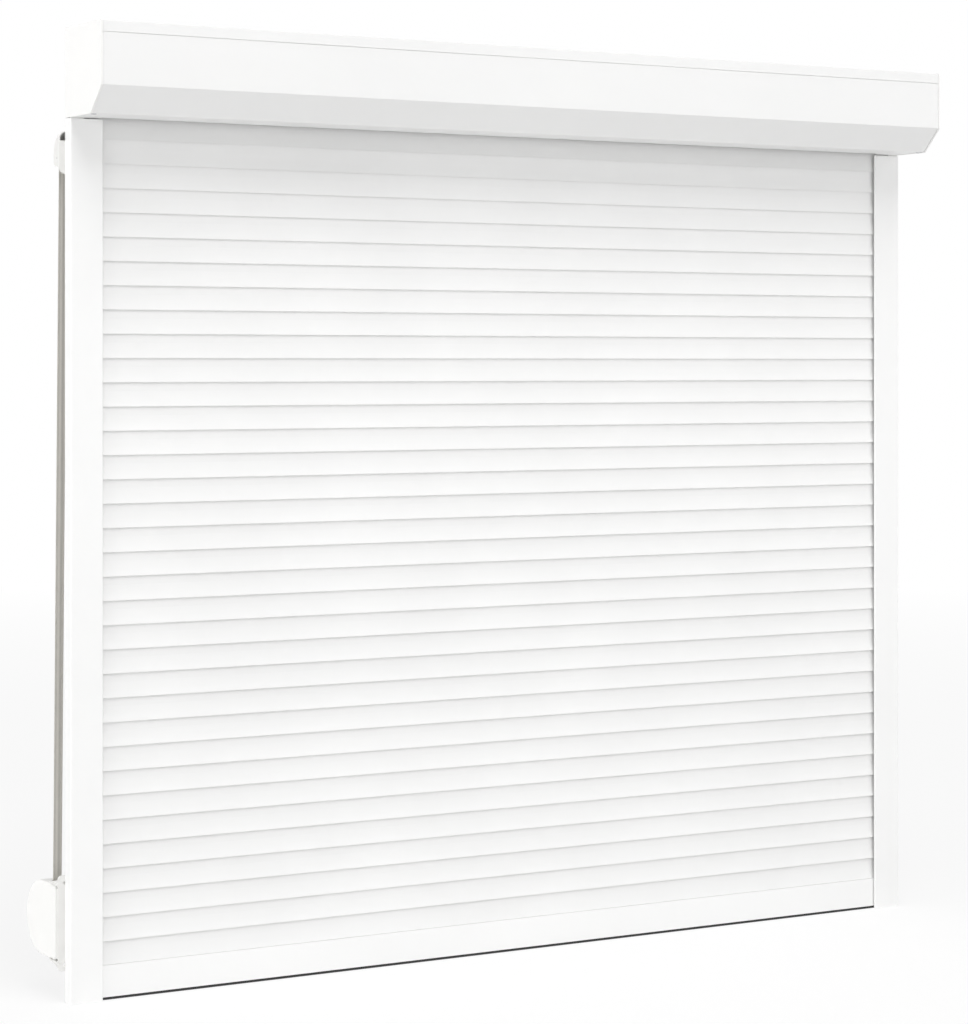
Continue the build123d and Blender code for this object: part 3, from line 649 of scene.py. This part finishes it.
# %% Strap roll
hub_radius = 0.030
wound_thickness = strap_thickness * 0.9
steps_a_turn = 28
turn_count = int((roll_radius - hub_radius) / strap_thickness)
last_angle = directions[0] - math.pi / 2
spiral = []
for step in range(turn_count * steps_a_turn + 1):
    turns = step / steps_a_turn
    radius = hub_radius + strap_thickness * (turns + 0.5)
    angle = last_angle - 2 * math.pi * (turn_count - turns)
    y = shaft_axis[1] + radius * math.cos(angle)
    z = shaft_axis[2] + radius * math.sin(angle)
    spiral.append(Vector((strap_middles[0], y, z)))
roll = extrude_strip("strap_on_disc", spiral, strap_width)
roll_length = map_weave(roll, spiral, strap_width)
thicken(roll, wound_thickness)
apply_modifiers(roll)
bpy.ops.object.shade_smooth_by_angle(angle=smooth_bend)
roll.data.materials.append(strap_cloth)
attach(roll, "shaft")
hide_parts("strap_roll")
print("strap on the disc", round(roll_length, 3), "m in", turn_count, "turns")

# %% [markdown]
# The stage is a wide pale floor. To the camera it is almost pure white, as on a product
# picture, and it fades into the white world behind it. Near the object a small share of it is
# ordinary paint, which keeps the soft shadow. For the light that bounces, all of it is paint.
# The Light Path node tells the two apart.

# %% Floor
floor_size = 60.0
paint_share = 0.2
fade_start, fade_end = 1.5, 8.0
paint_colour = (0.9, 0.9, 0.9, 1.0)
pure_white = (1.0, 1.0, 1.0, 1.0)


def stage_floor():
    """A floor that glows white for the camera, and is paint for the light that bounces."""
    deselect_all()
    bpy.ops.mesh.primitive_plane_add(size=floor_size, location=(0, 0, cad_low.z))
    floor = bpy.context.active_object
    floor.name = "floor"
    material = bpy.data.materials.new("pale_floor")
    material.use_nodes = True
    tree = material.node_tree
    tree.nodes.clear()
    output = tree.nodes.new("ShaderNodeOutputMaterial")
    paint = add_node(tree, "BsdfDiffuse", {"Color": paint_colour})
    glow = add_node(tree, "Emission", {"Color": pure_white, "Strength": 1.0})
    distance = add_node(tree, "VectorMath", operation="LENGTH")
    tree.links.new(object_coordinates(tree), distance.inputs[0])
    sockets = {"From Min": fade_start, "From Max": fade_end, "To Min": 1.0 - paint_share, "To Max": 1.0}
    fade = add_node(tree, "MapRange", sockets)
    tree.links.new(distance.outputs["Value"], fade.inputs["Value"])
    seen = add_node(tree, "MixShader")
    tree.links.new(fade.outputs["Result"], seen.inputs[0])
    tree.links.new(paint.outputs[0], seen.inputs[1])
    tree.links.new(glow.outputs[0], seen.inputs[2])
    rays = add_node(tree, "LightPath")
    direct = add_node(tree, "Math", operation="MAXIMUM")
    tree.links.new(rays.outputs["Is Camera Ray"], direct.inputs[0])
    tree.links.new(rays.outputs["Is Glossy Ray"], direct.inputs[1])
    choice = add_node(tree, "MixShader")
    tree.links.new(direct.outputs[0], choice.inputs[0])
    tree.links.new(paint.outputs[0], choice.inputs[1])
    tree.links.new(seen.outputs[0], choice.inputs[2])
    tree.links.new(choice.outputs[0], output.inputs["Surface"])
    floor.data.materials.append(material)
    floor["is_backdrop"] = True


stage_floor()

# %% [markdown]
# The light is that of a bright studio: an even glow from all round, and a large soft lamp
# high in front. The lamp makes the slats brighter where they curve out to their lips, and it
# leaves the soft shadow under the box. A second lamp lights the end of the box, the strap and
# the winder from the left. A third, low at the right, is there for the gloss: the curves of the
# slats mirror it towards the camera.

# %% World and lamps
world_glow = 0.35
lamp_distance = 9.0


def studio_world(glow):
    """A white world whose light on the object is turned down to this glow."""
    world = bpy.data.worlds.new("studio")
    scene.world = world
    world.use_nodes = True
    tree = world.node_tree
    tree.nodes.clear()
    output = tree.nodes.new("ShaderNodeOutputWorld")
    background = add_node(tree, "Background", {"Color": pure_white})
    rays = add_node(tree, "LightPath")
    seen = add_node(tree, "Math", operation="MAXIMUM")
    through = add_node(tree, "Math", operation="MAXIMUM")
    tree.links.new(rays.outputs["Is Camera Ray"], seen.inputs[0])
    tree.links.new(rays.outputs["Is Glossy Ray"], seen.inputs[1])
    tree.links.new(seen.outputs[0], through.inputs[0])
    tree.links.new(rays.outputs["Is Transmission Ray"], through.inputs[1])
    strength = add_node(tree, "MapRange", {"To Min": glow, "To Max": 1.0})
    tree.links.new(through.outputs[0], strength.inputs["Value"])
    tree.links.new(strength.outputs["Result"], background.inputs["Strength"])
    tree.links.new(background.outputs[0], output.inputs["Surface"])


def soft_lamp(name, direction, size, brightness):
    """A square lamp that faces the object; the brightness is what a white surface shows."""
    light = bpy.data.lights.new(name, "AREA")
    light.shape = "SQUARE"
    light.size = size
    light.energy = brightness * (math.pi * lamp_distance) ** 2
    lamp = bpy.data.objects.new(name, light)
    towards = Vector(direction).normalized()
    lamp.location = (cad_low + cad_high) / 2 + towards * lamp_distance
    lamp.rotation_euler = (-towards).to_track_quat("-Z", "Y").to_euler()
    scene.collection.objects.link(lamp)


studio_world(world_glow)
soft_lamp("key", direction=(-0.12, -0.5, 0.86), size=6.0, brightness=0.59)
soft_lamp("left_fill", direction=(-0.97, -0.05, 0.25), size=5.0, brightness=0.40)
soft_lamp("right_fill", direction=(0.53, -0.78, 0.33), size=6.0, brightness=0.16)

# %% [markdown]
# Last, the size of the dressed model is written beside the size of the bare one. The two
# boxes may differ only a little, because nothing here makes the object larger.

# %% Sizes
dressed_low, dressed_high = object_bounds()
growth = [round(dressed - bare, 4) for bare, dressed in zip(cad_high, dressed_high)]
print("box grows by", growth)
